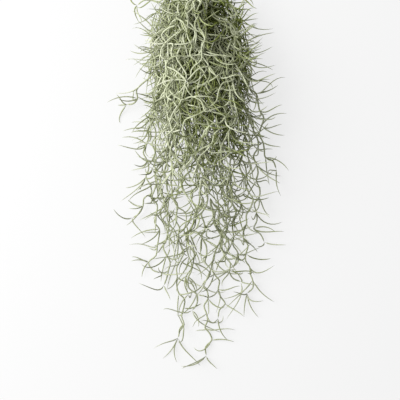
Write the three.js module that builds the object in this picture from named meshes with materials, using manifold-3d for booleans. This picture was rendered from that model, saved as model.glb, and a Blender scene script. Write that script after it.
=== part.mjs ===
// A bunch of Spanish moss (Tillandsia usneoides) as it lies on a flat surface, in millimetres.
// +Z is up. The strands run along Y, from the gathered end at +Y to the loose tips at -Y. The origin is
// the middle of the bunch's outline, on the surface that it lies on.
//
// The bunch is one matted tangle and the single leafy strands caught in its knots. Nothing ties them.
// A strand is a thin zigzag stem with pointed, curving leaves at its joints. Seeded dice draw each leaf,
// and it is drawn again until it clears every other strand.

import * as THREE from 'three';
import { mergeVertices } from 'three/addons/utils/BufferGeometryUtils.js';
import Module from 'manifold-3d';

const wasm = await Module();
wasm.setup();

// Driving dimensions

const bunchLength = 520; // from the gathered end to the lowest tip
const bunchWidth = 220; // between the furthest stray leaves
const bunchHeight = 84; // to the highest tip
const stemRadius = 1.1; // of the three-sided stem's corners, which makes it 1.6 mm thick
const stemThins = 0.7; // to this share of that radius at the loose end
const leafRadius = 1.0; // of a leaf's corners where it is widest
const jointPitch = 21; // along a stem, from joint to joint
const collarLength = 2.4; // of the stretch of stem at a joint that the leaves grow from
const stemSway = 2.4; // how far a joint stands off its strand's route
const clearGap = 0.4; // between the blades of two strands
const tunnelRadius = 2.0; // of the five-sided hole for a stem through the tangle, 0.3 mm clear of it
const ownGap = 0.8; // how near two blades of one strand may come, as a share of touching
const leastParting = { onStem: 0.35, atEnd: 0.62 }; // 0 for a leaf along its face, 1 for one square to it
const redraws = 30; // tries that a leaf gets to clear the other blades

// Each leaf has a length, starts at a slant, opens from the stem, curls at its end and turns a little out
// of its plane. Its girths are shares of leafRadius at even steps from its root to its point. Its tip lies
// at the reach, and handle sets how long the start and the end run straight, all as shares of its length.

const leafHabit = {
	girths: [0.8, 1, 0.75, 0], thirdLeaf: 0.15, shortest: 19, longest: 40,
	slant: 0.6, leastOpen: 0.25, open: [0.25, 1.1], curl: [-0.5, 1.1], twist: 0.16, reach: 0.93, handle: 0.34,
};

// How far the dice may turn a direction, as a share of the direction's own length.

const wander = { leaf: 0.5, sprig: 0.5, joint: 0.7 };

// Leaves and sprigs head outwards, away from this line along the middle of the body.

const core = { from: -40, to: 200, up: 10 };

// The heart of the bunch is rows of slim tresses, each a cord of old strands too knotted to part. up is a
// row's height, and across places its tresses in the widest section. The lowest row is flat underneath,
// where the bunch lies.

const tressSeed = 900;
const tressSides = 4;
const tunnelSides = 5;
const tressSteps = 10;
const tressTop = 226; // where the tresses come together
const tressEnd = -118; // of the lowest and middlemost one
const tressShortens = { across: 1.6, up: 1.2, scatter: 16 }; // the others, by how far out and up they lie
const tressCrowding = 1.3; // over 1 brings a tress's steps closer together at the gathered end
const gatherLength = 30; // over which they come together
const gatherTo = -0.35; // of its place across, where a tress ends: past the middle, so they all cross
const crossingHeight = 14; // above the surface
const thinLength = 90; // over which a tress thins out and comes down to its loose end
const tressThins = { girth: 0.5, height: 0.7 }; // shares of its radius there
const tressWave = { shortest: 100, longest: 180, across: 5, up: 3 };
const rows = [
	{ up: 2.4, radius: 3.6, across: [-33, -11, 11, 33], sprigs: 5 },
	{ up: 17, radius: 3, across: [-23, 0, 23], sprigs: 5 },
	{ up: 31, radius: 3, across: [-15, 1, 16], sprigs: 7 },
];

// Sprigs are the short leafy strands that stand out of the tresses and hide them. Most run down over the
// body, and those of the crown fan out round the gathered end.

const sprigSeed = 8500;
const sprigLength = { shortest: 42, longest: 78 };
const sprigRise = { least: 6, most: 34 }; // off its tress
const sprigHabit = {
	spacing: 1.25, // over 1 brings the sprigs closer together at the gathered end
	lastShare: 0.95, swerve: 0.35, edge: 0.12, run: 0.4, firstRise: 0.2, nextRise: 0.8, lastRise: [-0.4, 0.2],
};
const crown = { seed: 8000, count: 12, stride: 7, from: -0.5, to: 3.6, jitter: [0.2, 0.8], share: 0.14 };

// The single strands. Each starts in a knot, at a share of the length of a numbered tress. Its route is
// [x, y, height] from there to the loose end.

const knotRadius = 5;

const strands = [
	{ seed: 101, tress: 4, share: 0.62, route: [
		[-34, 34, 26], [-40, -6, 34], [-33, -46, 30], [-27, -85, 18], [-23, -115, 12],
		[-29, -155, 8], [-23, -169, 7], [-21, -187, 5], [-18, -206, 4], [-28, -217, 3],
	] },
	{ seed: 102, tress: 9, share: 0.63, route: [
		[2, 28, 50], [3, -14, 50], [9, -56, 36], [4, -91, 20], [12, -123, 12], [4, -144, 9],
		[6, -160, 7], [13, -169, 6], [7, -184, 5], [13, -193, 4], [6, -211, 3.5], [15, -222, 3],
		[8, -240, 2.5],
	] },
	{ seed: 103, tress: 6, share: 0.60, route: [
		[42, 46, 28], [54, -4, 28], [61, -50, 20], [53, -85, 13], [58, -112, 9],
		[66, -123, 8], [61, -132, 6], [69, -147, 5], [60, -160, 4],
	] },
	{ seed: 104, tress: 6, share: 0.73, route: [
		[33, -6, 34], [37, -50, 26], [29, -85, 17], [33, -120, 10], [41, -136, 7],
		[52, -145, 5],
	] },
	{ seed: 105, tress: 4, share: 0.69, route: [
		[-46, 8, 24], [-58, -36, 20], [-50, -70, 13], [-52, -91, 9], [-63, -109, 6],
		[-61, -125, 5], [-50, -134, 4],
	] },
	{ seed: 106, tress: 4, share: 0.46, route: [
		[-48, 86, 28], [-68, 42, 26], [-68, 5, 20], [-64, -37, 14], [-73, -52, 9],
		[-86, -64, 5],
	] },
	{ seed: 107, tress: 4, share: 0.84, route: [
		[-42, -48, 16], [-38, -78, 9], [-44, -104, 6], [-38, -128, 4], [-46, -150, 3],
	] },
	{ seed: 108, tress: 5, share: 0.86, route: [
		[-12, -84, 14], [-8, -112, 9], [-14, -136, 7], [-6, -158, 5], [-10, -182, 4],
	] },
	{ seed: 109, tress: 2, share: 0.86, route: [
		[26, -90, 14], [18, -124, 8], [24, -150, 5], [30, -170, 4], [23, -192, 3],
	] },
	{ seed: 110, tress: 6, share: 0.86, route: [
		[44, -50, 16], [41, -82, 9], [46, -104, 5], [40, -128, 4],
	] },
	{ seed: 111, tress: 6, share: 0.49, route: [
		[50, 82, 30], [72, 34, 26], [68, -12, 19], [76, -45, 10], [70, -75, 6],
		[82, -95, 4],
	] },
	{ seed: 112, tress: 6, share: 0.33, route: [
		[48, 124, 32], [74, 78, 30], [81, 36, 20], [86, 10, 10], [97, -2, 6],
	] },
	{ seed: 113, tress: 4, share: 0.28, route: [
		[-48, 136, 32], [-70, 104, 28], [-79, 84, 16], [-93, 80, 9],
	] },
	{ seed: 114, tress: 8, share: 0.17, route: [
		[-4, 158, 54], [10, 115, 66], [-3, 80, 68], [9, 45, 64], [-4, 10, 56],
		[-2, -14, 48],
	] },
	{ seed: 115, tress: 9, share: 0.25, route: [
		[30, 142, 52], [24, 98, 60], [39, 62, 52], [30, 22, 50], [42, -20, 38],
		[31, -56, 28],
	] },
	{ seed: 116, tress: 7, share: 0.22, route: [
		[-34, 146, 50], [-27, 104, 58], [-44, 66, 50], [-36, 26, 46], [-49, -16, 32],
		[-41, -52, 24],
	] },
	{ seed: 117, tress: 9, share: 0.16, route: [
		[40, 170, 42], [57, 136, 42], [60, 98, 38], [55, 60, 36], [63, 24, 30], [57, -12, 24],
	] },
	{ seed: 118, tress: 4, share: 0.20, route: [
		[-44, 174, 36], [-59, 140, 40], [-54, 100, 42], [-61, 64, 36], [-54, 28, 32], [-60, -2, 26],
	] },
];

const tangleMoss = new THREE.MeshStandardMaterial({ color: 0x8f9871, roughness: 0.9, metalness: 0 });
const strandMoss = new THREE.MeshStandardMaterial({ color: 0xb2b993, roughness: 0.85, metalness: 0 });

// Dice and directions

const diceStep = 48271;
const diceSize = 2147483647;

function dice(seed) {
	let state = seed;
	return (low, high) => {
		state = (state * diceStep) % diceSize;
		return between(low, high, state / diceSize);
	};
}

function anyDirection(roll) {
	return new THREE.Vector3(roll(-1, 1), roll(-1, 1), roll(-1, 1));
}

// The part of a vector that is square to a direction, one unit long.
function squareTo(vector, along) {
	return vector.clone().addScaledVector(along, -vector.dot(along)).normalize();
}

// The way out of the body from a point in it.
function outwards(point) {
	const inside = new THREE.Vector3(0, THREE.MathUtils.clamp(point.y, core.from, core.to), core.up);
	return point.clone().sub(inside).normalize();
}

// Raises a point of a centreline so that its blade stays on the surface.
function lift(point, radius) {
	point.z = Math.max(point.z, radius);
	return point;
}

function between(low, high, share) {
	return low + (high - low) * share;
}

// Blades. Each is a centreline with a radius, a direction and a side at each of its points.

const anySide = new THREE.Vector3(0.31, 0.17, 0.93);

function bladeAlong(points, radii) {
	const last = points.length - 1;
	const alongs = points.map((_, i) =>
		points[Math.min(i + 1, last)].clone().sub(points[Math.max(i - 1, 0)]).normalize());
	const sides = [squareTo(anySide, alongs[0])];
	for (let i = 1; i <= last; i++) sides.push(squareTo(sides[i - 1], alongs[i]));
	return { points, radii, alongs, sides };
}

// The point at a share of the way along a blade, with the radius and the direction there.
function placeOn({ points, radii, alongs }, share) {
	const i = Math.min(Math.floor(share * (points.length - 1)), points.length - 2);
	const part = share * (points.length - 1) - i;
	const radius = between(radii[i], radii[i + 1], part);
	return { point: points[i].clone().lerp(points[i + 1], part), radius, along: alongs[i] };
}

// A stem follows its route from joint to joint, and each joint but the first two and the last sways off it.
function growStem(route, roll) {
	const guide = new THREE.CatmullRomCurve3(route, false, 'catmullrom');
	const joints = Math.max(Math.round(guide.getLength() / jointPitch), 2);
	const path = Array.from({ length: joints + 1 }, (_, i) => guide.getPointAt(i / joints));
	const points = path.map((point, i) => {
		if (i < 2 || i === joints) return lift(point.clone(), stemRadius);
		const along = path[i + 1].clone().sub(path[i - 1]).normalize();
		const sway = squareTo(anyDirection(roll), along).multiplyScalar(stemSway);
		return lift(point.clone().add(sway), stemRadius);
	});
	return bladeAlong(points, points.map((_, i) => stemRadius * between(1, stemThins, i / joints)));
}

// A leaf leaves its stem at a slant, opens outwards and ends in a needle point. facing is the side of the
// stem that it grows on.
function growLeaf(root, along, facing, roll) {
	const side = squareTo(anyDirection(roll).multiplyScalar(wander.leaf).add(facing), along);
	const across = along.clone().cross(side);
	const length = roll(leafHabit.shortest, leafHabit.longest);
	const open = roll(...leafHabit.open);
	const curl = roll(...leafHabit.curl);
	const twist = roll(-leafHabit.twist, leafHabit.twist) * length;
	const handle = leafHabit.handle * length;
	const start = along.clone().addScaledVector(side, leafHabit.slant).normalize();
	const reach = along.clone().multiplyScalar(1 - open).addScaledVector(side, leafHabit.leastOpen + open);
	reach.normalize();
	const end = reach.clone().addScaledVector(reach.clone().sub(start), curl).normalize();
	const knee = root.clone().addScaledVector(start, handle);
	const tip = root.clone().addScaledVector(reach, leafHabit.reach * length).addScaledVector(across, twist);
	const neck = tip.clone().addScaledVector(end, -handle).addScaledVector(across, -leafHabit.handle * twist);
	for (const point of [knee, neck, tip]) lift(point, leafRadius);
	const curve = new THREE.CubicBezierCurve3(root.clone(), knee, neck, tip);
	const points = curve.getPoints(leafHabit.girths.length - 1);
	return bladeAlong(points, leafHabit.girths.map((girth) => leafRadius * girth));
}

// How squarely a leaf leaves the face that it grows from.
function partingOf({ points }, square) {
	return points[1].clone().sub(points[0]).normalize().dot(square);
}

function isInside({ points }) {
	const tip = points[points.length - 1];
	return Math.abs(tip.x) < bunchWidth / 2 && Math.abs(tip.y) < bunchLength / 2 && tip.z < bunchHeight;
}

// The straight lengths of every blade so far, and whose they are

const settled = [];

function straightLength(a, b, radius) {
	return { a, b, radius, middle: a.clone().lerp(b, 0.5), half: a.distanceTo(b) / 2 };
}

function straightLengths({ points, radii }) {
	return points.slice(1).map((b, i) => straightLength(points[i], b, Math.max(radii[i], radii[i + 1])));
}

function settle(blade, owner) {
	for (const length of straightLengths(blade)) settled.push({ ...length, owner });
}

// The least distance between two straight lengths.
function distanceBetween(p, q) {
	const u = p.b.clone().sub(p.a);
	const v = q.b.clone().sub(q.a);
	const w = p.a.clone().sub(q.a);
	const keep = (share) => Math.min(Math.max(share, 0), 1);
	const skew = u.dot(u) * v.dot(v) - u.dot(v) ** 2;
	const first = skew > 1e-9 ? keep((u.dot(v) * v.dot(w) - v.dot(v) * u.dot(w)) / skew) : 0;
	const t = keep((u.dot(v) * first + v.dot(w)) / v.dot(v));
	const s = keep((u.dot(v) * t - u.dot(w)) / u.dot(u));
	return w.addScaledVector(u, s).addScaledVector(v, -t).length();
}

// Whether two lengths lie a gap apart, with their radii taken at a share.
function isApart(mine, other, gap, share) {
	const least = gap + share * (mine.radius + other.radius);
	if (mine.middle.distanceTo(other.middle) > least + mine.half + other.half) return true;
	return distanceBetween(mine, other) >= least;
}

// Whether a blade stays clear of the others. It may pass through one owner's blades, and it may touch its
// own strand over the first half of its first length, where it leaves the stem.
function isClear(blade, owner, through) {
	const whole = straightLengths(blade);
	const [first, ...rest] = whole;
	const free = [straightLength(first.middle, first.b, first.radius), ...rest];
	return settled.every((other) => {
		if (other.owner === through) return true;
		if (other.owner === owner) return free.every((mine) => isApart(mine, other, 0, ownGap));
		return whole.every((mine) => isApart(mine, other, clearGap, 1));
	});
}

// Skins. A strand's skin is one closed surface of triangles: rows of three-cornered rings along the stem,
// with each leaf drawn out of one face of the collar at its joint.

function addRing(skin, middle, along, side, radius) {
	const up = along.clone().cross(side);
	return [0, 1, 2].map((n) => {
		const turn = (2 * Math.PI * n) / 3;
		const sideways = side.clone().multiplyScalar(radius * Math.cos(turn));
		return skin.corners.push(middle.clone().add(sideways).addScaledVector(up, radius * Math.sin(turn))) - 1;
	});
}

// The six faces from one ring to the next.
function addBand(skin, from, to) {
	for (let n = 0; n < 3; n++) {
		const next = (n + 1) % 3;
		skin.faces.push([from[n], from[next], to[next]], [from[n], to[next], to[n]]);
	}
}

// The skin of a bare stem. collars holds the first face of each joint's collar, and cap the face at the end.
function stemSkin({ points, radii, alongs, sides }) {
	const skin = { corners: [], faces: [], collars: [], cap: 0 };
	let ring = addRing(skin, points[0], alongs[0], sides[0], radii[0]);
	skin.faces.push([ring[0], ring[2], ring[1]]);
	for (let i = 1; i < points.length; i++) {
		const half = alongs[i].clone().multiplyScalar(collarLength / 2);
		const lower = addRing(skin, points[i].clone().sub(half), alongs[i], sides[i], radii[i]);
		const upper = addRing(skin, points[i].clone().add(half), alongs[i], sides[i], radii[i]);
		addBand(skin, ring, lower);
		skin.collars[i] = skin.faces.length;
		addBand(skin, lower, upper);
		ring = upper;
	}
	skin.cap = skin.faces.push(ring) - 1;
	return skin;
}

// Draws a leaf out of a face.
function drawOut(skin, face, { points, radii, alongs }) {
	const last = points.length - 1;
	let ring = skin.faces[face];
	let side = skin.corners[ring[0]].clone().sub(skin.corners[ring[1]].clone().lerp(skin.corners[ring[2]], 0.5));
	for (let i = 1; i < last; i++) {
		side = squareTo(side, alongs[i]);
		const next = addRing(skin, points[i], alongs[i], side, radii[i]);
		addBand(skin, ring, next);
		ring = next;
	}
	const tip = skin.corners.push(points[last]) - 1;
	skin.faces[face] = [ring[0], ring[1], tip];
	skin.faces.push([ring[1], ring[2], tip], [ring[2], ring[0], tip]);
}

// Grows leaves at every joint of a stem, those that face out of the body first, and gives the skin of it all.
function growLeaves(stem, owner, roll) {
	const skin = stemSkin(stem);
	const last = stem.points.length - 1;
	for (let i = 1; i <= last; i++) {
		const along = stem.alongs[i];
		const wish = outwards(stem.points[i]).add(anyDirection(roll).multiplyScalar(wander.joint));
		const places = [0, 1, 2].map((n) => {
			const facing = stem.sides[i].clone().applyAxisAngle(along, ((n + 0.5) * 2 * Math.PI) / 3);
			return { face: skin.collars[i] + 2 * n + 1, facing, square: facing };
		});
		places.sort((one, other) => other.facing.dot(wish) - one.facing.dot(wish));
		if (i === last) Object.assign(places[2], { face: skin.cap, square: along });
		else if (roll(0, 1) > leafHabit.thirdLeaf) places.pop();
		for (const { face, facing, square } of places) {
			for (let go = 0; go < redraws; go++) {
				const leaf = growLeaf(stem.points[i], along, facing, roll);
				if (partingOf(leaf, square) < leastParting[i === last ? 'atEnd' : 'onStem']) continue;
				if (!isInside(leaf) || !isClear(leaf, owner)) continue;
				settle(leaf, owner);
				drawOut(skin, face, leaf);
				break;
			}
		}
	}
	return skin;
}

// Solids

// A straight rod of few sides, bent along a centreline.
function bentRod({ points, alongs, sides }, radii, count) {
	const steps = points.length - 1;
	const rod = new THREE.CylinderGeometry(1, 1, 1, count, steps);
	const position = rod.getAttribute('position');
	for (let v = 0; v < position.count; v++) {
		const i = Math.round((position.getY(v) + 0.5) * steps);
		const place = points[i].clone()
			.addScaledVector(sides[i], position.getX(v) * radii[i])
			.addScaledVector(sides[i].clone().cross(alongs[i]), position.getZ(v) * radii[i]);
		position.setXYZ(v, place.x, place.y, place.z);
	}
	return rod;
}

function geometryOf(corners, faces) {
	const geometry = new THREE.BufferGeometry().setFromPoints(corners);
	geometry.setIndex(faces.flat());
	return geometry;
}

function solidOf(geometry) {
	geometry.deleteAttribute('normal');
	geometry.deleteAttribute('uv');
	const merged = mergeVertices(geometry, 1e-4);
	return new wasm.Manifold(new wasm.Mesh({
		numProp: 3,
		vertProperties: new Float32Array(merged.getAttribute('position').array),
		triVerts: new Uint32Array(merged.index.array),
	}));
}

function fuse(geometries) {
	return geometries.map(solidOf).reduce((whole, next) => whole.add(next));
}

// The mesh of a solid without any loose scrap.
function meshOf(solid, name, material) {
	const body = solid.decompose().reduce((most, next) => (next.volume() > most.volume() ? next : most));
	const { vertProperties, triVerts } = body.getMesh();
	const geometry = new THREE.BufferGeometry();
	geometry.setAttribute('position', new THREE.BufferAttribute(vertProperties, 3));
	geometry.setIndex(new THREE.BufferAttribute(triVerts, 1));
	geometry.computeVertexNormals();
	const mesh = new THREE.Mesh(geometry, material);
	mesh.name = name;
	return mesh;
}

// The tresses

// A tress starts thin in the gathered end, is full through the body and thins out to its loose end.
function growTress(across, { up, radius }, roll) {
	const shorter = tressShortens.across * Math.abs(across) + tressShortens.up * up;
	const end = tressEnd + shorter + roll(-tressShortens.scatter, tressShortens.scatter);
	const pace = (2 * Math.PI) / roll(tressWave.shortest, tressWave.longest);
	const phase = roll(0, 2 * Math.PI);
	const points = [];
	const radii = [];
	for (let i = 0; i <= tressSteps; i++) {
		const y = between(tressTop, end, (i / tressSteps) ** tressCrowding);
		const gather = Math.sqrt(Math.min((tressTop - y) / gatherLength, 1));
		const thin = Math.min((y - end) / thinLength, 1);
		const place = across + tressWave.across * Math.sin(phase + pace * y);
		const wave = up < radius ? 0 : tressWave.up * Math.cos(phase + pace * y);
		const height = between(tressThins.height * radius, between(crossingHeight, up + wave, gather), thin);
		points.push(new THREE.Vector3(place * between(gatherTo, 1, gather), y, height));
		radii.push(radius * between(tressThins.girth, 1, Math.min(gather, thin)));
	}
	return bladeAlong(points, radii);
}

const tressName = 'tress';
const tressRoll = dice(tressSeed);
const tresses = rows.flatMap((row) =>
	row.across.map((across) => ({ blade: growTress(across, row, tressRoll), sprigs: row.sprigs })));
for (const { blade } of tresses) settle(blade, tressName);

// The knots and the stems of the single strands. They come before the sprigs, which keep clear of the stems.

const roots = strands.map(({ tress, share }) => placeOn(tresses[tress].blade, share));
for (const { point, along } of roots) {
	settle({ points: [point, point.clone().add(along)], radii: [knotRadius, knotRadius] }, tressName);
}

const stems = strands.map(({ seed, route }, i) => {
	const name = `strand_${String(i + 1).padStart(2, '0')}`;
	const roll = dice(seed);
	const stem = growStem([roots[i].point, ...route.map((place) => new THREE.Vector3(...place))], roll);
	settle(stem, name);
	return { name, roll, stem };
});

// The sprigs

// The route of a sprig that leaves its tress at a share of the tress's length.
function sprigRoute(tress, share, heading, roll) {
	const { point: root, radius } = placeOn(tress, share);
	const { firstRise, nextRise, lastRise, edge, run } = sprigHabit;
	const out = outwards(root).add(anyDirection(roll).multiplyScalar(wander.sprig)).normalize();
	const length = roll(sprigLength.shortest, sprigLength.longest);
	const rise = roll(sprigRise.least, sprigRise.most);
	const step = (from, outBy, onBy) => from.clone().addScaledVector(out, outBy).addScaledVector(heading, onBy);
	const leaving = step(root, radius + firstRise * rise, edge * length);
	const middle = step(leaving, nextRise * rise, run * length);
	const end = step(middle, roll(...lastRise) * rise, run * length);
	return [root, leaving, middle, end];
}

// A sprig's skin, or none where the body is too full for its stem.
function growSprig(tress, share, heading, roll, name) {
	for (let go = 0; go < redraws; go++) {
		const stem = growStem(sprigRoute(tress, share, heading, roll), roll);
		if (!isInside(stem) || !isClear(stem, name, tressName)) continue;
		settle(stem, name);
		return [growLeaves(stem, name, roll)];
	}
	return [];
}

const bodySprigs = tresses.flatMap(({ blade, sprigs }, i) => {
	const roll = dice(sprigSeed + i);
	return Array.from({ length: sprigs }, (_, n) => n).flatMap((n) => {
		const share = sprigHabit.lastShare * ((n + roll(0, 1)) / sprigs) ** sprigHabit.spacing;
		const heading = new THREE.Vector3(roll(-sprigHabit.swerve, sprigHabit.swerve), -1, 0);
		return growSprig(blade, share, heading, roll, `sprig ${i} ${n}`);
	});
});
const crownRoll = dice(crown.seed);
const crownSprigs = Array.from({ length: crown.count }, (_, n) => n).flatMap((n) => {
	const turn = between(crown.from, crown.to, (n + crownRoll(...crown.jitter)) / crown.count);
	const heading = new THREE.Vector3(Math.cos(turn), Math.sin(turn), 0);
	const tress = tresses[(crown.stride * n) % tresses.length].blade;
	return growSprig(tress, crownRoll(0, crown.share), heading, crownRoll, `crown ${n}`);
});

// The tangle: tresses, knots and sprigs in one, flat where it lies, with a tunnel for each strand

function tunnelOf({ points, radii, alongs, sides }) {
	const start = points[0].clone().addScaledVector(alongs[0], stemRadius - tunnelRadius);
	const lengthened = { points: [start, ...points.slice(1)], alongs, sides };
	return bentRod(lengthened, radii.map(() => tunnelRadius), tunnelSides);
}

const surfaceDepth = 40;
const surface = new THREE.BoxGeometry(2 * bunchWidth, 2 * bunchLength, surfaceDepth);
surface.translate(0, 0, -surfaceDepth / 2);

const tunnels = fuse(stems.map(({ stem }) => tunnelOf(stem)));
const knots = roots.map(({ point }) => new THREE.OctahedronGeometry(knotRadius).translate(...point));
const cords = tresses.map(({ blade }) => bentRod(blade, blade.radii, tressSides));
const heart = fuse([...cords, ...knots]).subtract(tunnels);
const sprigs = fuse([...bodySprigs, ...crownSprigs].map(({ corners, faces }) => geometryOf(corners, faces)));
const tangle = heart.add(sprigs).subtract(solidOf(surface));

const bunch = new THREE.Group();
bunch.name = 'spanish_moss_bunch';
bunch.add(meshOf(tangle, 'tangle', tangleMoss));

// The strands

for (const { name, roll, stem } of stems) {
	const { corners, faces } = growLeaves(stem, name, roll);
	bunch.add(meshOf(solidOf(geometryOf(corners, faces)), name, strandMoss));
}

export default bunch;
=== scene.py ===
import math
import bmesh
import bpy
import numpy as np
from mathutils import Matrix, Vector


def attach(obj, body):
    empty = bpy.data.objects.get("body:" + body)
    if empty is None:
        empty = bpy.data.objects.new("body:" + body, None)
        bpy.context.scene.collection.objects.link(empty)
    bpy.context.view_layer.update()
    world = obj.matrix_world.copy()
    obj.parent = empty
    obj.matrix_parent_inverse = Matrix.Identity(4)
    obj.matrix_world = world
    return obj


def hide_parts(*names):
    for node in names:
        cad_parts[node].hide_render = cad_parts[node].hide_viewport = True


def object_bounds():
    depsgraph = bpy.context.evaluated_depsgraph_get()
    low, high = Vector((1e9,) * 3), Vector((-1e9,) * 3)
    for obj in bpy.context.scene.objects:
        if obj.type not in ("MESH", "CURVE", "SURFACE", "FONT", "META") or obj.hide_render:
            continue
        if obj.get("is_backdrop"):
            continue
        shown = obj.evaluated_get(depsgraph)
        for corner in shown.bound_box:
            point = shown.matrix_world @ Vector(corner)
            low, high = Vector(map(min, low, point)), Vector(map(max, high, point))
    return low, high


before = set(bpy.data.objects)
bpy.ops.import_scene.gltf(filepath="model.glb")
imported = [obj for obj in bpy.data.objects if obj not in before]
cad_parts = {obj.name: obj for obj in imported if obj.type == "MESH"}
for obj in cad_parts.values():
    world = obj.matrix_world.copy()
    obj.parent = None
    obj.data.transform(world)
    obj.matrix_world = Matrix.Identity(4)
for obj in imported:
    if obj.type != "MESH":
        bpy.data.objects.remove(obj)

# Blades are worked out in millimetres, and makeMesh turns them into metres. The stage is in metres.
metre = 0.001
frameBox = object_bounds()
topSide = np.array((0.0, 0.0, 1.0))
anySide = np.array((0.31, 0.17, 0.93))  # no blade runs along this

blade = {
    "leafSides": 5, "leafSteps": 8, "leafRadius": 0.86,
    "leafGirths": ((0.0, 1.15), (0.12, 1.08), (0.35, 0.98), (0.65, 0.76), (0.88, 0.44), (1.0, 0.08)),
    "crowding": 0.9,  # below one, a leaf's steps are closer together at its tip
    "stemSides": 6, "stemSteps": 3, "stemRadius": 1.0,
    "stemThins": 0.8,  # to this share at the loose end
    "stemBow": 0.22, "bowLift": 0.7, "bowTurn": 2.1,  # a share of the way between two joints, and its side
    "rootDepth": 2.5,  # of a stem's root inside what carries it
}
keepIn = {"side": 1.0, "under": 0.4}  # of the solids' box, and above the ground
lowest, highest = (np.array(corner) / metre for corner in frameBox)
lowest, highest = lowest + keepIn["side"], highest - keepIn["side"]
lowest[2] = keepIn["under"]


# Directions and blends, for rows of points at once.

def unit(vectors):
    return vectors / np.linalg.norm(vectors, axis=-1, keepdims=True)


def dot(a, b):
    return (a * b).sum(-1, keepdims=True)


def squareTo(vectors, along):
    return unit(vectors - dot(vectors, along) * along)


def between(low, high, share):
    return low + (high - low) * share


def anyDirections(dice, count):
    return dice.uniform(-1, 1, (count, 3))


def profile(table, at):
    places = np.array(sorted(table))
    return np.interp(at, places[:, 0], places[:, 1])


def isInside(cubics):
    return ((cubics >= lowest) & (cubics <= highest)).all((1, 2))


def offGround(points):
    points[..., 2] = np.maximum(points[..., 2], keepIn["under"])
    return points


# The frame's solids are read back as stems and leaves: a leaf ends in a corner with three neighbours,
# and a joint of a stem is a cluster of six corners.

solid = {
    "weld": 0.01, "shortEdge": 3.5, "leastLeaf": 4.0,
    "leafSides": 3, "jointCorners": 6,
    "jointReach": 1.9, "leafyReach": 4.2,  # a leaf may add corners to its joint
}


def cornersOf(node):
    welded = bmesh.new()
    welded.from_mesh(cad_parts[node].data)
    bmesh.ops.remove_doubles(welded, verts=welded.verts, dist=solid["weld"] * metre)
    welded.verts.index_update()
    corners = np.array([corner.co / metre for corner in welded.verts])
    around = [{edge.other_vert(corner).index for edge in corner.link_edges} for corner in welded.verts]
    welded.free()
    return corners, around


def neighbours(around, some):
    return set().union(*(around[corner] for corner in some)) - some


def middleOf(corners, some):
    return corners[list(some)].mean(0)


def readLeaves(corners, around):
    # each leaf as its tip, its two rings and the three corners that it was drawn out of
    leaves = []
    for tip, ring in enumerate(around):
        if len(ring) != solid["leafSides"]:
            continue
        lower = neighbours(around, ring) - {tip}
        if len(lower) != solid["leafSides"]:
            continue
        root = neighbours(around, lower) - ring
        if np.linalg.norm(corners[tip] - middleOf(corners, ring)) > solid["leastLeaf"]:
            leaves.append((tip, ring, lower, root))
    return leaves


def readJoints(corners, around, taken, leafRoots):
    # clusters of corners that short edges join
    jointOf, joints = {}, []
    free = set(range(len(corners))) - taken
    while free:
        cluster, edge = set(), {free.pop()}
        while edge:
            cluster |= edge
            edge = {near for corner in edge for near in around[corner] - taken - cluster
                    if np.linalg.norm(corners[corner] - corners[near]) < solid["shortEdge"]}
        free -= cluster
        middle = middleOf(corners, cluster)
        reach = np.linalg.norm(corners[list(cluster)] - middle, axis=1).max()
        plain = len(cluster) == solid["jointCorners"] and reach < solid["jointReach"]
        leafy = len(cluster) > solid["jointCorners"] and reach < solid["leafyReach"] and cluster & leafRoots
        if plain or leafy:
            jointOf.update({corner: len(joints) for corner in cluster})
            joints.append((middle, cluster))
    return joints, jointOf


def readStems(node):
    # every stem as its joints from the root on, and every leaf as the four points of its cubic
    corners, around = cornersOf(node)
    leaves = readLeaves(corners, around)
    taken = set().union(*({tip} | ring | lower for tip, ring, lower, _ in leaves))
    leafRoots = set().union(*(root for _, _, _, root in leaves))
    joints, jointOf = readJoints(corners, around, taken, leafRoots)
    links, entries = [], []
    for middle, cluster in joints:
        outside = neighbours(around, cluster) - taken
        links.append({jointOf[corner] for corner in outside if corner in jointOf})
        entries.append([corner for corner in outside if corner not in jointOf])
    stems, seen = [], set()
    for first, entry in enumerate(entries):
        if not entry or first in seen:
            continue
        chain, root = [first], middleOf(corners, entry)
        while links[chain[-1]] - seen - set(chain):
            chain.append(min(links[chain[-1]] - seen - set(chain)))
        seen.update(chain)
        way = unit(joints[first][0] - root)
        stems.append(np.array([root - blade["rootDepth"] * way] + [joints[nth][0] for nth in chain]))
    cubics = []
    for tip, ring, lower, root in leaves:
        nth = jointOf.get(min(root, default=-1))
        if nth is not None:
            knee, neck = middleOf(corners, lower), middleOf(corners, ring)
            cubics.append([joints[nth][0], knee, neck, corners[tip]])
    return stems, np.array(cubics)


# Blades grow as rows of points. A leaf leaves its joint at a slant, opens outwards and ends in a needle.

leaf = {
    "shortest": 21, "longest": 46, "stretch": 0.4,  # a leaf that stays along its stem is longer
    "slant": (0.2, 1.0), "leastOpen": 0.15, "open": (0.1, 1.7),  # sideways at the root, and to the tip
    "curl": (-1.2, 1.9), "bend": 0.35, "twist": 0.35, "wander": 0.35,
    "reach": 0.86, "handle": 0.4,  # of its length: root to tip, and the pull at both ends
}


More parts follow.
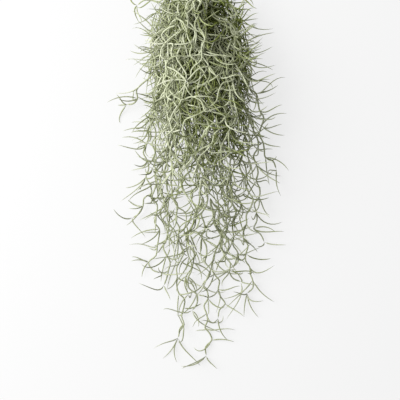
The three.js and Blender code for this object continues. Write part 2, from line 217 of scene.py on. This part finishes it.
def growLeaves(dice, roots, along, facing, spread):
    # one cubic for each root, as four points at even steps; a small spread keeps the leaves along the stem
    count = len(roots)
    side = squareTo(leaf["wander"] * anyDirections(dice, count) + facing, along)
    across = np.cross(along, side)
    length = dice.uniform(leaf["shortest"], leaf["longest"], (count, 1))
    length *= 1 + leaf["stretch"] * (1 - spread)
    opening = spread * between(*leaf["open"], dice.uniform(0, 1, (count, 1)) ** 2)  # few hook right back
    curl = dice.uniform(*leaf["curl"], (count, 1))
    twist = dice.uniform(-leaf["twist"], leaf["twist"], (count, 1)) * length
    start = unit(along + spread * dice.uniform(*leaf["slant"], (count, 1)) * side)
    reach = unit((1 - opening) * along + (spread * leaf["leastOpen"] + opening) * side)
    bend = dice.uniform(-leaf["bend"], leaf["bend"], (count, 1))
    end = unit(reach + curl * (reach - start) + bend * side)
    start = unit(start - bend * side / 2)
    knee = roots + leaf["handle"] * length * start
    tip = roots + leaf["reach"] * length * reach + twist * across
    neck = tip - leaf["handle"] * (length * end + twist * across)
    steps = np.linspace(0, 1, 4)[:, None, None]
    early = (1 - steps) ** 3 * roots + 3 * steps * (1 - steps) ** 2 * knee
    late = 3 * steps ** 2 * (1 - steps) * neck + steps ** 3 * tip
    return np.moveaxis(early + late, 0, 1)


def alongCubics(cubics):
    # the same curves at more steps: the weights are those of a cubic through four evenly spaced points
    steps = np.linspace(0, 1, blade["leafSteps"] + 1) ** blade["crowding"]
    weights = [
        -4.5 * (steps - 1 / 3) * (steps - 2 / 3) * (steps - 1),
        13.5 * steps * (steps - 2 / 3) * (steps - 1),
        -13.5 * steps * (steps - 1 / 3) * (steps - 1),
        4.5 * steps * (steps - 1 / 3) * (steps - 2 / 3),
    ]
    return np.einsum("wk,nwc->nkc", np.array(weights), cubics), steps


def throughPoints(route, steps):
    # a smooth line through every point of a route
    route = np.asarray(route, float)
    ends = np.concatenate([2 * route[:1] - route[1:2], route, 2 * route[-1:] - route[-2:-1]])
    share = np.linspace(0, 1, steps, endpoint=False)[:, None]
    lines = []
    for a, b, c, d in zip(ends, ends[1:], ends[2:], ends[3:]):
        lines.append(b + share * (c - a) / 2 + share ** 2 * (a - 2.5 * b + 2 * c - d / 2)
                     + share ** 3 * (1.5 * (b - c) + (d - a) / 2))
    return np.concatenate(lines + [route[-1:]])


# Steps from one point of a route to the next when it is measured, and the fewest parts it is cut into.
measure = {"steps": 12, "leastParts": 2}


def evenly(route, pitch):
    # points a pitch apart along a route
    line = throughPoints(route, measure["steps"])
    run = np.concatenate([[0], np.cumsum(np.linalg.norm(np.diff(line, axis=0), axis=1))])
    count = max(round(run[-1] / pitch), measure["leastParts"])
    marks = np.linspace(0, run[-1], count + 1)
    return np.stack([np.interp(marks, run, line[:, axis]) for axis in range(3)], axis=1)


def zigzag(dice, joints, sway):
    alongs = unit(np.gradient(joints, axis=0))
    swayed = joints + sway * squareTo(anyDirections(dice, len(joints)), alongs)
    swayed[0], swayed[-1] = joints[0], joints[-1]
    return offGround(swayed)


loose = {
    "nudges": (0, 2, 5.5, 10), "bows": (0, 3.5, 4.5, 0),  # of a leaf's four points
    "noGrowthAt": 92, "growthFades": 30,  # x past which no leaf grows longer
}


def loosened(dice, cubics, grows):
    # the solid's leaves, each longer, bowed and nudged its own way, so that none run side by side
    nudges = anyDirections(dice, len(cubics))[:, None] * np.array(loose["nudges"])[:, None]
    bows = anyDirections(dice, len(cubics))[:, None] * np.array(loose["bows"])[:, None]
    room = np.clip((loose["noGrowthAt"] - abs(cubics[:, 3, :1, None])) / loose["growthFades"], 0, 1)
    grown = 1 + dice.uniform(0, grows, (len(cubics), 1, 1)) * room
    nudged = offGround(cubics[:, :1] + grown * (cubics - cubics[:, :1]) + nudges + bows)
    return np.where(isInside(nudged)[:, None, None], nudged, cubics)


core = {"from": -40, "to": 200, "up": 10}  # leaves head away from this line along the middle of the body


def outwards(points):
    inside = np.zeros_like(points)
    inside[:, 1] = np.clip(points[:, 1], core["from"], core["to"])
    inside[:, 2] = core["up"]
    return unit(points - inside)


fork = {"turns": (0.0, math.pi, math.pi / 2), "scatter": 0.5, "outward": 0.12}  # of the leaves at a joint


def leavesAt(dice, joints, perJoint, spread):
    # leaves for every joint but the first: the first of each leaves on the outer side of the stem's bend
    alongs = unit(np.gradient(joints, axis=0))[1:]
    bends = anyDirections(dice, len(joints) - 1)
    bends[:-1] = 2 * joints[1:-1] - joints[:-2] - joints[2:]
    joints = joints[1:]
    bends = squareTo(bends, alongs)
    cubics = []
    for nth, turned in enumerate(fork["turns"][: math.ceil(perJoint)]):
        turn = turned + dice.normal(0, fork["scatter"], (len(joints), 1))
        around = np.cos(turn) * bends + np.sin(turn) * np.cross(alongs, bends)
        grown = growLeaves(dice, joints, alongs, around + fork["outward"] * outwards(joints), spread)
        cubics.append(grown[dice.uniform(0, 1, len(joints)) < perJoint - nth])
    cubics = offGround(np.concatenate(cubics))
    return cubics[isInside(cubics)]


# What is grown so far: leaves as cubics, stems as lines. Each piece collects its own.

def newGrowth():
    return {"cubics": [], "leafTones": [], "leafSizes": [], "stems": [], "stemTones": [], "stemSizes": []}


def addLeaves(growth, cubics, tone, size):
    if len(cubics):
        growth["cubics"].append(cubics)
        growth["leafTones"].append(np.broadcast_to(tone, len(cubics)))
        growth["leafSizes"].append(np.full(len(cubics), size))


def bowed(joints):
    # between its joints a stem bows to one side and then the other
    alongs = joints[1:] - joints[:-1]
    aside = squareTo(np.cross(alongs, topSide) + blade["bowLift"] * topSide, unit(alongs))
    turns = np.sin(blade["bowTurn"] * np.arange(len(alongs)) + joints[0, 0])[:, None]
    lengths = np.linalg.norm(alongs, axis=1)[:, None]
    route = np.empty((2 * len(joints) - 1, 3))
    route[::2] = joints
    route[1::2] = (joints[1:] + joints[:-1]) / 2 + blade["stemBow"] * turns * lengths * aside
    return offGround(route)


def addStem(growth, joints, tone, size):
    growth["stems"].append(throughPoints(bowed(joints), blade["stemSteps"]))
    growth["stemTones"].append(tone)
    growth["stemSizes"].append(size)


# Meshes. Every blade is a tube of a few sides that closes to a point at both ends.

def sweep(points, radii, sides):
    # corners and faces of many tubes with the same number of points
    count, steps, _ = points.shape
    alongs = unit(np.gradient(points, axis=1))
    side = squareTo(np.broadcast_to(anySide, (count, 3)), alongs[:, 0])
    turns = 2 * math.pi * np.arange(sides) / sides
    rings = [points[:, :1]]
    for step in range(1, steps - 1):
        side = squareTo(side, alongs[:, step])
        up = np.cross(alongs[:, step], side)
        offsets = np.cos(turns)[:, None] * side[:, None] + np.sin(turns)[:, None] * up[:, None]
        rings.append(points[:, step, None] + radii[:, step, None, None] * offsets)
    corners = np.concatenate(rings + [points[:, -1:]], axis=1)
    this = np.arange(sides)
    following = (this + 1) % sides
    last = 1 + sides * (steps - 2)
    start = np.stack([np.zeros_like(this), 1 + following, 1 + this], axis=1)
    finish = np.stack([last - sides + this, last - sides + following, np.full_like(this, last)], axis=1)
    band = np.stack([1 + this, 1 + following, 1 + sides + following, 1 + sides + this], axis=1)
    bands = np.concatenate([band + sides * step for step in range(steps - 3)])
    first = (np.arange(count) * corners.shape[1])[:, None, None]
    triangles = (np.concatenate([start, finish])[None] + first).reshape(-1, 3)
    quads = (bands[None] + first).reshape(-1, 4)
    shares = np.repeat(np.arange(steps), [1] + [sides] * (steps - 2) + [1]) / (steps - 1)
    return corners, triangles, quads, shares


def leafTubes(growth):
    points, steps = alongCubics(np.concatenate(growth["cubics"]))
    sizes = np.concatenate(growth["leafSizes"])[:, None]
    radii = blade["leafRadius"] * sizes * profile(blade["leafGirths"], steps)
    points[..., 2] = np.maximum(points[..., 2], radii)
    return (*sweep(points, radii, blade["leafSides"]), np.concatenate(growth["leafTones"]), 1.0)


def stemTubes(growth):
    # stems of the same number of points go together
    groups = {}
    for line, tone, size in zip(growth["stems"], growth["stemTones"], growth["stemSizes"]):
        groups.setdefault(len(line), []).append((line, tone, size))
    for count, group in groups.items():
        points, tones, sizes = (np.array(rows) for rows in zip(*group))
        thins = between(1, blade["stemThins"], np.linspace(0, 1, count))
        radii = blade["stemRadius"] * sizes[:, None] * thins
        points[..., 2] = np.maximum(points[..., 2], radii)
        yield (*sweep(points, radii, blade["stemSides"]), tones, 0.0)


def makeMesh(name, tubes):
    corners, triangles, quads = [], [], []
    shades = {"tone": [], "share": [], "leaf": []}  # the material reads these
    offset = 0
    for places, threes, fours, shares, tones, isLeaf in tubes:
        count, each, _ = places.shape
        corners.append(places.reshape(-1, 3))
        triangles.append(threes + offset)
        quads.append(fours + offset)
        shades["tone"].append(np.repeat(tones, each))
        shades["share"].append(np.tile(shares, count))
        shades["leaf"].append(np.full(count * each, isLeaf))
        offset += count * each
    corners, triangles, quads = (np.concatenate(rows) for rows in (corners, triangles, quads))
    corners[:, 2] = np.maximum(corners[:, 2], 0)
    mesh = bpy.data.meshes.new(name)
    mesh.vertices.add(len(corners))
    mesh.vertices.foreach_set("co", (corners * metre).ravel())
    mesh.loops.add(triangles.size + quads.size)
    mesh.loops.foreach_set("vertex_index", np.concatenate([triangles.ravel(), quads.ravel()]))
    mesh.polygons.add(len(triangles) + len(quads))
    starts = np.concatenate([3 * np.arange(len(triangles)), triangles.size + 4 * np.arange(len(quads))])
    mesh.polygons.foreach_set("loop_start", starts)
    mesh.update(calc_edges=True)
    mesh.validate()
    mesh.shade_smooth()
    for label, rows in shades.items():
        values = np.concatenate(rows).astype(np.float32)
        mesh.attributes.new(label, "FLOAT", "POINT").data.foreach_set("value", values)
    return mesh, len(triangles) + 2 * len(quads)


total = {"triangles": 0}


def makePiece(name, growth, material, node):
    mesh, count = makeMesh(name, [leafTubes(growth), *stemTubes(growth)])
    mesh.materials.append(material)
    piece = bpy.data.objects.new(name, mesh)
    bpy.context.scene.collection.objects.link(piece)
    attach(piece, "root")
    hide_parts(node)
    total["triangles"] += count
    print(f"{name}: {count} triangles")


print("frame read")


# Moss. Silvery scales over green, in tones that differ from leaf to leaf.

moss = {
    "strandOld": (0.08, 0.095, 0.03), "strandGreen": (0.215, 0.24, 0.105),
    "strandPale": (0.435, 0.455, 0.335), "old": (0.045, 0.06, 0.002), "deep": (0.12, 0.15, 0.018),
    "green": (0.225, 0.262, 0.085), "pale": (0.445, 0.472, 0.325), "silver": (0.62, 0.635, 0.49),
    # the tip tone below is painted shade, darker towards each leaf's tip
    "patchSize": 9.0, "patchDetail": 2, "patchContrast": 0.35, "tipPaintedShade": -0.07,
    "scaleSize": 0.35, "scaleDetail": 3, "scaleEdges": (0.35, 0.65), "scaleShades": (0.55, 1.2),
    "scaleContrast": 0.5, "bump": 0.2, "bumpDepth": 0.2,
    "roughness": 0.85, "specular": 0.15, "sheen": 0.05, "sheenRoughness": 0.6,
}


def mossMaterial(name, colours):
    # colours by tone, from the oldest to the palest
    material = bpy.data.materials.new(name)
    material.use_nodes = True
    nodes, links = material.node_tree.nodes, material.node_tree.links
    place = nodes.new("ShaderNodeTexCoord")

    def noise(size, detail):
        made = nodes.new("ShaderNodeTexNoise")
        made.inputs["Scale"].default_value = 1 / (size * metre)
        made.inputs["Detail"].default_value = detail
        links.new(place.outputs["Object"], made.inputs["Vector"])
        return made.outputs["Fac"]

    def attribute(label):
        made = nodes.new("ShaderNodeAttribute")
        made.attribute_name = label
        return made.outputs["Fac"]

    def combine(operation, a, b):
        made = nodes.new("ShaderNodeMath")
        made.operation = operation
        for socket, value in zip(made.inputs, (a, b)):
            if isinstance(value, float):
                socket.default_value = value
            else:
                links.new(value, socket)
        return made.outputs[0]

    contrast = moss["patchContrast"]
    patchNoise = noise(moss["patchSize"], moss["patchDetail"])
    patches = combine("SUBTRACT", combine("MULTIPLY", patchNoise, contrast), contrast / 2)
    # painted shade: leaves grow a little darker towards their tips, as backlit tips look
    paintedTipShade = combine("MULTIPLY", attribute("leaf"), moss["tipPaintedShade"])
    tips = combine("MULTIPLY", attribute("share"), paintedTipShade)
    tone = combine("ADD", combine("ADD", attribute("tone"), tips), patches)
    ramp = nodes.new("ShaderNodeValToRGB")
    while len(ramp.color_ramp.elements) < len(colours):
        ramp.color_ramp.elements.new(0.5)  # anywhere: each gets its place below
    for element, (at, colour) in zip(ramp.color_ramp.elements, colours.items()):
        element.position = at
        element.color = (*moss[colour], 1)
    links.new(tone, ramp.inputs["Fac"])

    scales = noise(moss["scaleSize"], moss["scaleDetail"])
    grey = nodes.new("ShaderNodeMapRange")
    grey.inputs["From Min"].default_value, grey.inputs["From Max"].default_value = moss["scaleEdges"]
    grey.inputs["To Min"].default_value, grey.inputs["To Max"].default_value = moss["scaleShades"]
    links.new(scales, grey.inputs["Value"])
    speckled = nodes.new("ShaderNodeMix")
    speckled.data_type = "RGBA"
    speckled.blend_type = "MULTIPLY"
    speckled.inputs["Factor"].default_value = moss["scaleContrast"]
    links.new(ramp.outputs["Color"], speckled.inputs["A"])
    links.new(grey.outputs["Result"], speckled.inputs["B"])
    bump = nodes.new("ShaderNodeBump")
    bump.inputs["Strength"].default_value = moss["bump"]
    bump.inputs["Distance"].default_value = moss["bumpDepth"] * metre
    links.new(scales, bump.inputs["Height"])

    shader = nodes["Principled BSDF"]
    shader.inputs["Roughness"].default_value = moss["roughness"]
    shader.inputs["Specular IOR Level"].default_value = moss["specular"]
    shader.inputs["Sheen Weight"].default_value = moss["sheen"]
    shader.inputs["Sheen Roughness"].default_value = moss["sheenRoughness"]
    links.new(speckled.outputs["Result"], shader.inputs["Base Color"])
    links.new(bump.outputs["Normal"], shader.inputs["Normal"])
    return material


# the lowest tones also carry the painted shade of the body's depths and of the hollow
tangleColours = {0.0: "old", 0.2: "deep", 0.4: "green", 0.7: "pale", 1.0: "silver"}
strandColours = {0.0: "strandOld", 0.35: "strandGreen", 0.7: "strandPale", 1.0: "silver"}
tangleMoss = mossMaterial("tangleMoss", tangleColours)
strandMoss = mossMaterial("strandMoss", strandColours)


# Near the top, on the right, the bunch has a hollow down to its old inner strands; its blades are darkened
# there with painted shade.

hollow = {"x": 27, "y": 184, "wide": 20, "long": 42, "deep": 0.8, "paintedShade": 0.28, "bare": 0.8}


def hollowAt(x, y):
    away = ((x - hollow["x"]) / hollow["wide"]) ** 2 + ((y - hollow["y"]) / hollow["long"]) ** 2
    return np.exp(-away)


def besideHollow(dice, cubics):
    # leaves that would cover the hollow are left out
    cover = hollow["bare"] * hollowAt(cubics[:, 2, 0], cubics[:, 2, 1])
    return cubics[dice.uniform(0, 1, len(cubics)) > cover]


# The trailing strands: the solid's own stem and leaves, rounder, with thinner strands that leave its root,
# run along with it and gather towards one of two bundles at the foot.

strandLook = {
    "seed": 131, "stemSize": 1.15, "stemTone": 0.53,
    "leafSize": 0.98, "leafTone": 0.55, "mix": 0.09, "leavesGrow": 0.33,
}
companion = {
    "each": 2, "fewerBeyond": (-30, 55),  # x of a strand's end: past these it has one
    "length": (0.25, 0.8), "points": 30, "leastPoints": 3, "partsOver": 2,  # points to its full drift
    "aside": 4.8, "asideMost": 16, "sinksMost": 8, "risesMost": 4, "fullLiftAt": 20,
    "gathers": 0.5, "bundles": (-17, 12), "pitch": 23, "sway": 5.0, "stemSize": 0.98, "stemTone": 0.5,
    "perJoint": 1.0, "spread": 0.8, "leafSize": 0.95, "leafTone": 0.525, "mix": 0.1,
}
strays = [  # [root x, y, tip x, y, z, bow] of long leaves at the outline and in the tail
    (-80, 76, -117, 81, 24, 4), (-70, 143, -88, 146, 26, -3), (-69, 187, -86, 196, 26, 3),
    (-70, 46, -97, 45, 26, 2), (-78, 21, -99, 37, 22, 4), (-80, -10, -95, -26, 14, -3),
    (-80, -55, -94, -74, 10, -2), (-62, -85, -88, -90, 8, 3), (-62, -115, -88, -119, 6, 2),
    (-61, -128, -74, -140, 5, 2), (77, 14, 112, -5, 22, -4), (81, -6, 103, -11, 14, 3),
    (67, -75, 96, -82, 9, -4), (81, 46, 109, 67, 28, -5), (81, 49, 107, 40, 24, 3),
    (70, 146, 94, 168, 30, -3), (78, 104, 98, 103, 26, 2), (75, 141, 92, 121, 28, -2),
    (7, -238, -25, -253, 3, -4), (16, -219, 44, -222, 5, -2), (-22, -216, -29, -249, 3, 4),
    (69, -144, 28, -167, 6, -5), (69, -144, 95, -171, 6, 3), (58, -166, 56, -190, 4, 1),
    (58, -166, 75, -191, 4, 3), (-14, -112, -26, -137, 10, 4), (-10, -118, 2, -143, 10, -3),
    (-16, -135, -4, -160, 8, -4), (-16, -135, -30, -158, 8, 3), (-15, -150, -4, -172, 6, -3),
    (-15, -165, -27, -187, 6, 3), (-12, -180, -2, -203, 5, -3), (-15, -195, -26, -215, 5, 3),
    (-14, -100, -28, -122, 12, 4), (-12, -100, 0, -127, 12, -3),
]


def companionOf(dice, joints):
    route = evenly(joints, companion["points"])
    count = len(route)
    drift = np.cumsum(dice.normal(0, companion["aside"], (count, 2)), axis=0)
    drift *= np.minimum(np.arange(count) / companion["partsOver"], 1)[:, None]
    bundle = min(companion["bundles"], key=lambda x: abs(x - joints[-1, 0]))
    gathers = between(1, companion["gathers"], np.linspace(0, 1, count))
    aside = np.clip(drift[:, 0], -companion["asideMost"], companion["asideMost"])
    lift = np.clip(drift[:, 1], -companion["sinksMost"], companion["risesMost"])
    route[:, 0] = bundle + (route[:, 0] - bundle) * gathers + aside
    # it rises and sinks less where the strand is near the ground
    route[:, 2] += lift * np.minimum(route[:, 2] / companion["fullLiftAt"], 1)
    kept = max(round(count * dice.uniform(*companion["length"])), companion["leastPoints"])
    route = route[:kept]
    return zigzag(dice, evenly(route, companion["pitch"]), companion["sway"])


def growStrand(dice, node):
    # what grows, and every joint that a long leaf may leave
    growth = newGrowth()
    stems, cubics = readStems(node)
    leaves = loosened(dice, cubics, strandLook["leavesGrow"])
    tones = dice.normal(strandLook["leafTone"], strandLook["mix"], len(leaves))
    addLeaves(growth, leaves, tones, strandLook["leafSize"])
    places = []
    for joints in stems:
        addStem(growth, joints, strandLook["stemTone"], strandLook["stemSize"])
        places.append(joints[1:])
        isInner = companion["fewerBeyond"][0] < joints[-1, 0] < companion["fewerBeyond"][1]
        for _ in range(companion["each"] if isInner else 1):
            thin = companionOf(dice, joints)
            addStem(growth, thin, companion["stemTone"], companion["stemSize"])
            more = besideHollow(dice, leavesAt(dice, thin, companion["perJoint"], companion["spread"]))
            tones = dice.normal(companion["leafTone"], companion["mix"], len(more))
            addLeaves(growth, more, tones, companion["leafSize"])
            places.append(thin[1:])
    return growth, np.concatenate(places)


def addStray(grown, rootAt, tip, bow):
    # from the nearest joint of any strand
    apart = {node: np.linalg.norm(places[:, :2] - rootAt, axis=1) for node, (_, places) in grown.items()}
    node = min(apart, key=lambda name: apart[name].min())
    growth, places = grown[node]
    root = places[apart[node].argmin()]
    aside = bow * unit(np.cross(tip - root, topSide))
    cubic = [root, between(root, tip, 1 / 3) + aside, between(root, tip, 2 / 3) + aside, tip]
    addLeaves(growth, np.array([cubic]), companion["leafTone"], strandLook["leafSize"])


strandNodes = sorted(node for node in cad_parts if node.startswith("strand_"))
strands = {}
for nth, node in enumerate(strandNodes):
    strands[node] = growStrand(np.random.RandomState(strandLook["seed"] + nth), node)
for rootX, rootY, tipX, tipY, tipZ, bow in strays:
    addStray(strands, (rootX, rootY), np.array((tipX, tipY, tipZ), float), bow)
for node, (growth, _) in strands.items():
    makePiece(node + "_moss", growth, strandMoss, node)
print("strands made")


# The tangle: the sprigs of its solid, and runners that fill its body from side to side.

sprigs = {
    "stemSize": 1.1, "stemTone": 0.58, "leafSize": 1.0, "leafTone": 0.54, "mix": 0.1, "leavesGrow": 0.05,
    "shade": 0.36,  # painted shade: how much darker they are over the hollow
}
bodyEdges = {  # [y, left, right] of the runners' stems
    "left": [(226, -38), (208, -56), (184, -59), (134, -55), (84, -54), (34, -48), (-16, -42), (-66, -42),
             (-116, -38), (-166, -34), (-216, -16)],
    "right": [(226, 33), (208, 53), (184, 57), (134, 56), (84, 53), (34, 51), (-16, 42), (-66, 36),
              (-116, 32), (-166, 40), (-216, 14)],
    "top": [(230, 22), (210, 40), (180, 58), (140, 68), (90, 72), (45, 68), (0, 56), (-50, 38), (-90, 24),
            (-130, 13), (-180, 8), (-230, 5)],
}
runners = {
    "seed": 507, "seedsPerKind": 100, "step": 12, "top": 226, "over": 8, "start": (110, 226), "fromTop": 0.5,
    "least": 4, "turnBack": 0.5, "drift": 0.05, "lowest": 0.05, "skin": 3, "dome": 0.85,
    # the last five: painted shade deep in the body and in the hollow, and painted light that makes the left
    # paler
    "paintedShade": 0.2, "darkFrom": 10, "darkOver": 120, "leftPaintedLight": 0.45, "leftOver": 45,
}
runnerKinds = {
    "mat": {  # old thin strands, deep in the body, that run rather straight
        "groups": 6, "perGroup": 26, "deep": (0.05, 0.95), "across": (0, 1), "inside": -4, "most": 40,
        "heading": 0.3, "turn": 0.28, "pull": 0.45, "pitch": 20, "sway": 3.0,
        "tone": 0.41, "mix": 0.07, "size": 0.77, "perJoint": 1.3, "spread": 0.5,
        "ends": [(0.0, 170), (0.3, 118), (0.6, 75), (0.8, 45), (0.93, 15), (1, -25)],
    },
    "loop": {  # short ones that run any way
        "groups": 3, "perGroup": 27, "deep": (0.3, 0.9), "across": (0.1, 0.9), "inside": 10, "most": 9,
        "heading": 2.2, "turn": 0.4, "pull": 0.0, "pitch": 21, "sway": 3.0,
        "tone": 0.45, "mix": 0.08, "size": 0.9, "perJoint": 1.1, "spread": 0.9,
        "ends": [(0.0, 150), (0.25, 95), (0.5, 50), (0.75, 5), (0.93, -40), (1, -100)],
    },
    "net": {  # pale strong ones on top
        "groups": 2, "perGroup": 14, "deep": (0.98, 1.06), "across": (0.25, 0.9), "inside": 8, "most": 40,
        "heading": 0.6, "turn": 0.65, "pull": 0.3, "pitch": 24, "sway": 3.0,
        "tone": 0.69, "mix": 0.08, "size": 1.08, "perJoint": 1.2, "spread": 1.0,
        "ends": [(0.0, 130), (0.3, 80), (0.6, 35), (0.8, -10), (0.93, -50), (1, -110)],
    },
}


def edgesAt(y):
    return profile(bodyEdges["left"], y), profile(bodyEdges["right"], y)


def heightAt(x, y):
    # of the body's upper side
    left, right = edgesAt(y)
    off = np.clip((2 * x - left - right) / (right - left), -1, 1)
    rise = (profile(bodyEdges["top"], y) - runners["skin"]) * np.sqrt(1 - (runners["dome"] * off) ** 2)
    return runners["skin"] + rise * (1 - hollow["deep"] * hollowAt(x, y))


def runner(dice, kind):
    # wanders down the bunch and turns back at its edges; up is its share of the height there
    y = dice.uniform(*runners["start"]) if dice.uniform() > runners["fromTop"] else runners["top"]
    end = min(profile(kind["ends"], dice.uniform()), y - runners["least"] * runners["step"])
    if kind["pull"] == 0:  # nothing pulls it down the bunch, so it starts anywhere
        y = dice.uniform(end, runners["top"])
    up = dice.uniform(*kind["deep"])
    x = between(*edgesAt(y), dice.uniform(*kind["across"]))
    heading = dice.uniform(-kind["heading"], kind["heading"])
    route = []
    while len(route) < runners["least"] or (y > end and len(route) < kind["most"]):
        up = np.clip(up + dice.normal(0, runners["drift"]), runners["lowest"], kind["deep"][1])
        route.append((x, y, heightAt(x, y) * up))
        heading = (1 - kind["pull"]) * heading + dice.normal(0, kind["turn"])
        left, right = edgesAt(y)
        leftmost, rightmost = left + kind["inside"], right - kind["inside"]
        if not leftmost < x < rightmost:
            heading = -runners["turnBack"] * np.sign(x)
        x = np.clip(x + runners["step"] * math.sin(heading), leftmost, rightmost)
        y = min(y - runners["step"] * math.cos(heading), runners["top"] + runners["over"])
    return zigzag(dice, evenly(route, kind["pitch"]), kind["sway"])


def toneAt(points, kind):
    # darker deep in the body, for its older inner strands and as painted shade; darker in the hollow as
    # painted shade; paler on the left as painted light from the lamp's side
    x, y, z = np.moveaxis(points, -1, 0)
    thick = np.clip((y - runners["darkFrom"]) / runners["darkOver"], 0, 1)
    depth = np.clip(1 - z / heightAt(x, y), 0, 1) * thick
    lit = runners["leftPaintedLight"] * (1 - kind["tone"]) * np.clip(-x / runners["leftOver"], 0, 1)
    return kind["tone"] + lit - runners["paintedShade"] * depth - hollow["paintedShade"] * hollowAt(x, y)


def growSprigs(dice):
    growth = newGrowth()
    stems, cubics = readStems("tangle")
    leaves = loosened(dice, cubics, sprigs["leavesGrow"])
    shade = sprigs["shade"] * hollowAt(leaves[:, 2, 0], leaves[:, 2, 1])
    tones = dice.normal(sprigs["leafTone"], sprigs["mix"], len(leaves)) - shade
    addLeaves(growth, leaves, tones, sprigs["leafSize"])
    for joints in stems:
        addStem(growth, joints, sprigs["stemTone"], sprigs["stemSize"])
    return growth


def growRunners(dice, kind):
    growth = newGrowth()
    for _ in range(kind["perGroup"]):
        joints = runner(dice, kind)
        addStem(growth, joints, toneAt(joints, kind).mean(), kind["size"])
        more = besideHollow(dice, leavesAt(dice, joints, kind["perJoint"], kind["spread"]))
        tones = dice.normal(toneAt(more[:, 1:].mean(1), kind), kind["mix"])
        addLeaves(growth, more, tones, kind["size"])
    return growth


sprigGrowth = growSprigs(np.random.RandomState(runners["seed"]))
makePiece("tangle_sprigs", sprigGrowth, tangleMoss, "tangle")
for nthKind, (kindName, kind) in enumerate(runnerKinds.items()):
    for group in range(kind["groups"]):
        dice = np.random.RandomState(runners["seed"] + 1 + runners["seedsPerKind"] * nthKind + group)
        made = growRunners(dice, kind)
        makePiece(f"tangle_{kindName}_{group + 1}", made, tangleMoss, "tangle")
print(f"tangle made, {total['triangles']} triangles in all")


# The stage: a pale floor, soft light from the upper left, and a camera straight above.

stage = {
    "floorSize": 12.0, "floorUnder": 0.0005, "floorColour": 0.13, "floorRoughness": 0.9, "floorGlow": 0.73,
    "window": (-1.2, 0.3, 1.0), "windowSize": 1.3, "windowPower": 52, "skyStrength": 0.46,
    "middleHeight": 0.03, "frameWidth": 0.5, "aimY": -0.04125, "lens": 100.0, "sensor": 36.0,
}


def makeFloor():
    bpy.ops.mesh.primitive_plane_add(size=stage["floorSize"], location=(0, 0, -stage["floorUnder"]))
    floor = bpy.context.object
    floor.name = "floor"
    material = bpy.data.materials.new("paleFloor")
    material.use_nodes = True
    shader = material.node_tree.nodes["Principled BSDF"]
    shader.inputs["Base Color"].default_value = (stage["floorColour"],) * 3 + (1,)
    shader.inputs["Roughness"].default_value = stage["floorRoughness"]
    shader.inputs["Emission Color"].default_value = (1, 1, 1, 1)
    shader.inputs["Emission Strength"].default_value = stage["floorGlow"]
    floor.data.materials.append(material)
    floor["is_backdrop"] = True


def makeLight():
    lamp = bpy.data.lights.new("softWindow", "AREA")
    lamp.size = stage["windowSize"]
    lamp.energy = stage["windowPower"]
    holder = bpy.data.objects.new("softWindow", lamp)
    holder.location = stage["window"]
    holder.rotation_euler = (-Vector(stage["window"])).to_track_quat("-Z", "Y").to_euler()
    bpy.context.scene.collection.objects.link(holder)
    sky = bpy.data.worlds.new("studio")
    sky.use_nodes = True
    sky.node_tree.nodes["Background"].inputs["Color"].default_value = (1, 1, 1, 1)
    sky.node_tree.nodes["Background"].inputs["Strength"].default_value = stage["skyStrength"]
    bpy.context.scene.world = sky
    bpy.context.scene.view_settings.view_transform = "Standard"


def makeCamera():
    lens = bpy.data.cameras.new("camera")
    lens.lens, lens.sensor_width, lens.sensor_fit = stage["lens"], stage["sensor"], "HORIZONTAL"
    distance = stage["frameWidth"] * stage["lens"] / stage["sensor"]
    camera = bpy.data.objects.new("camera", lens)
    camera.location = (0, stage["aimY"], stage["middleHeight"] + distance)
    bpy.context.scene.collection.objects.link(camera)
    bpy.context.scene.camera = camera


makeFloor()
makeLight()
makeCamera()
print("stage made")

sizes = {"cad": frameBox, "visual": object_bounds()}
{label: [list(corner) for corner in box] for label, box in sizes.items()}
